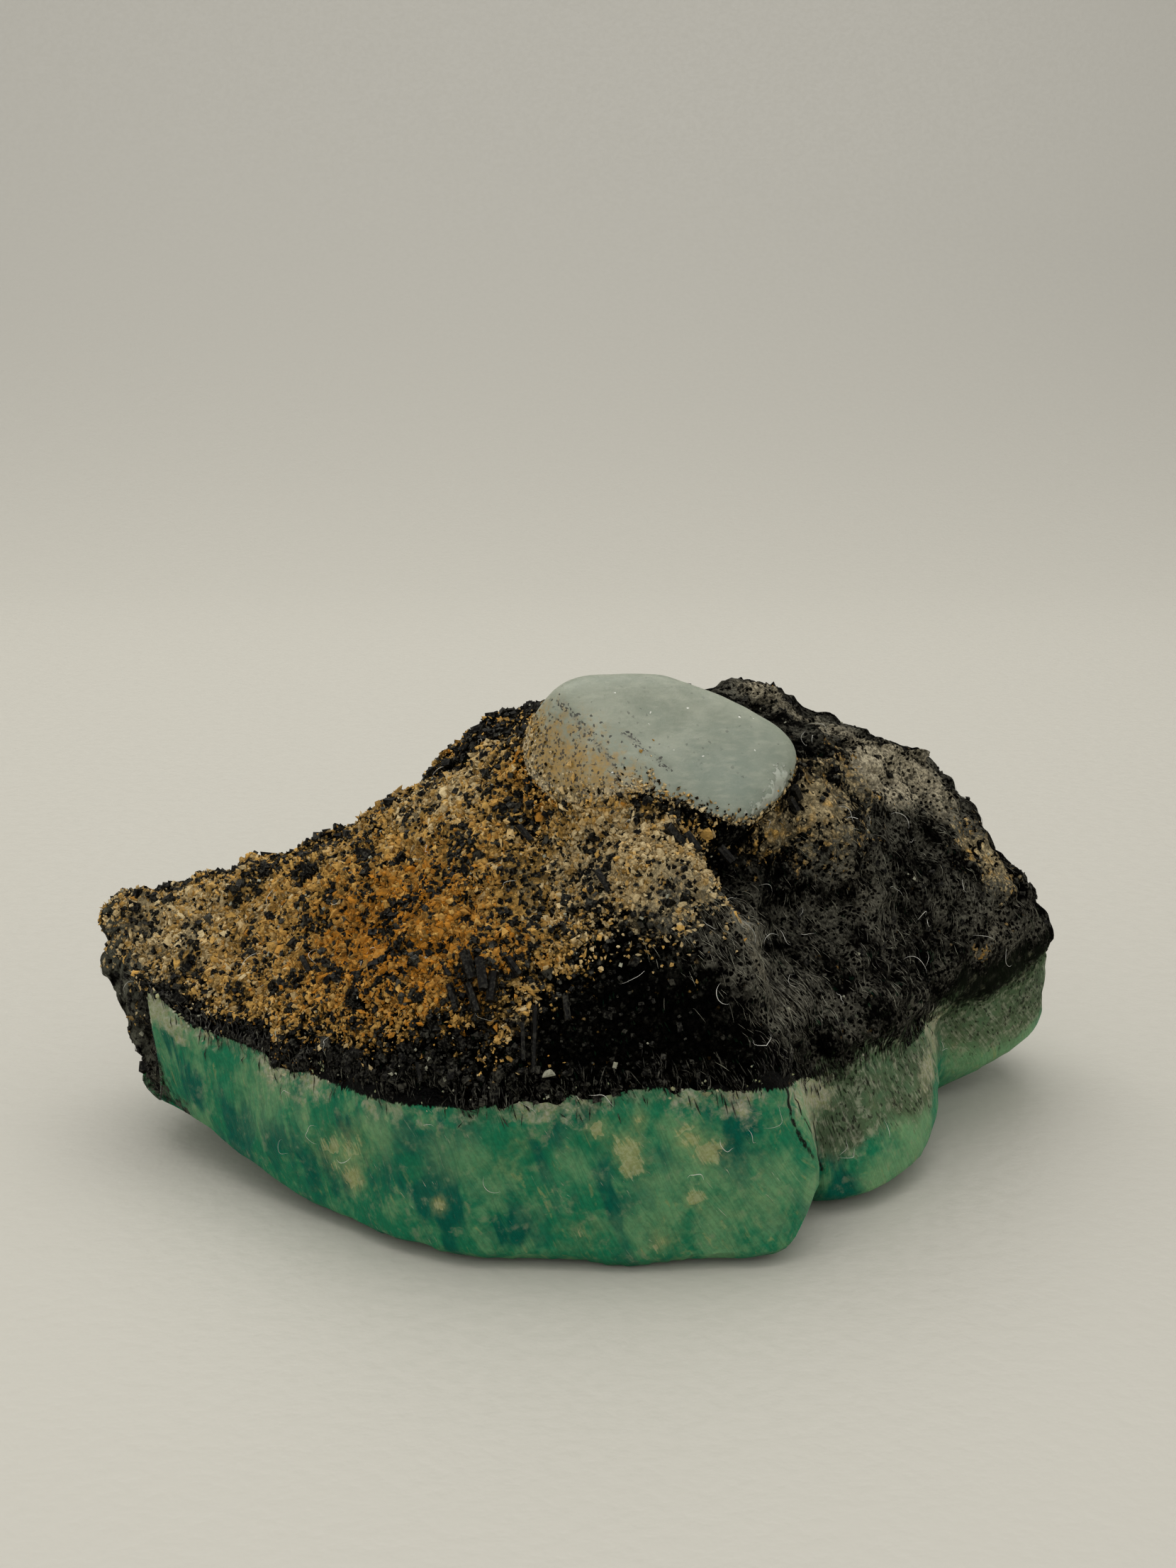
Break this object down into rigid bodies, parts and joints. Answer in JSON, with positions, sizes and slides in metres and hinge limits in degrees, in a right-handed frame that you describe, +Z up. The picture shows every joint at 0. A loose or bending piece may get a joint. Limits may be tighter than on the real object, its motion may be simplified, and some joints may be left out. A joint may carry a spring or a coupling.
{
  "type": "amazonite with tourmaline, mineral specimen",
  "caption": "Rough mineral specimen: a cleaved green amazonite slab under a dark, grainy tourmaline mass with a pale, worn feldspar knob near its top. Rests on a flat bed.",
  "frame": {"origin": "on the plane of the bed, under the middle of the stone's box", "axes": "+X to the right along the stone's length, -Y towards the cleaved front, +Z up"},
  "size_m": [0.069, 0.0458, 0.0342],
  "materials": {
    "amazonite": "cleaved and worn feldspar, waxy",
    "tourmaline": "rough, grainy and weathered",
    "feldspar": "water-worn, waxy"
  },
  "bodies": {
    "root": {"amazonite_slab": "amazonite", "tourmaline_matrix": "tourmaline", "feldspar_knob": "feldspar"}
  },
  "joints": []
}
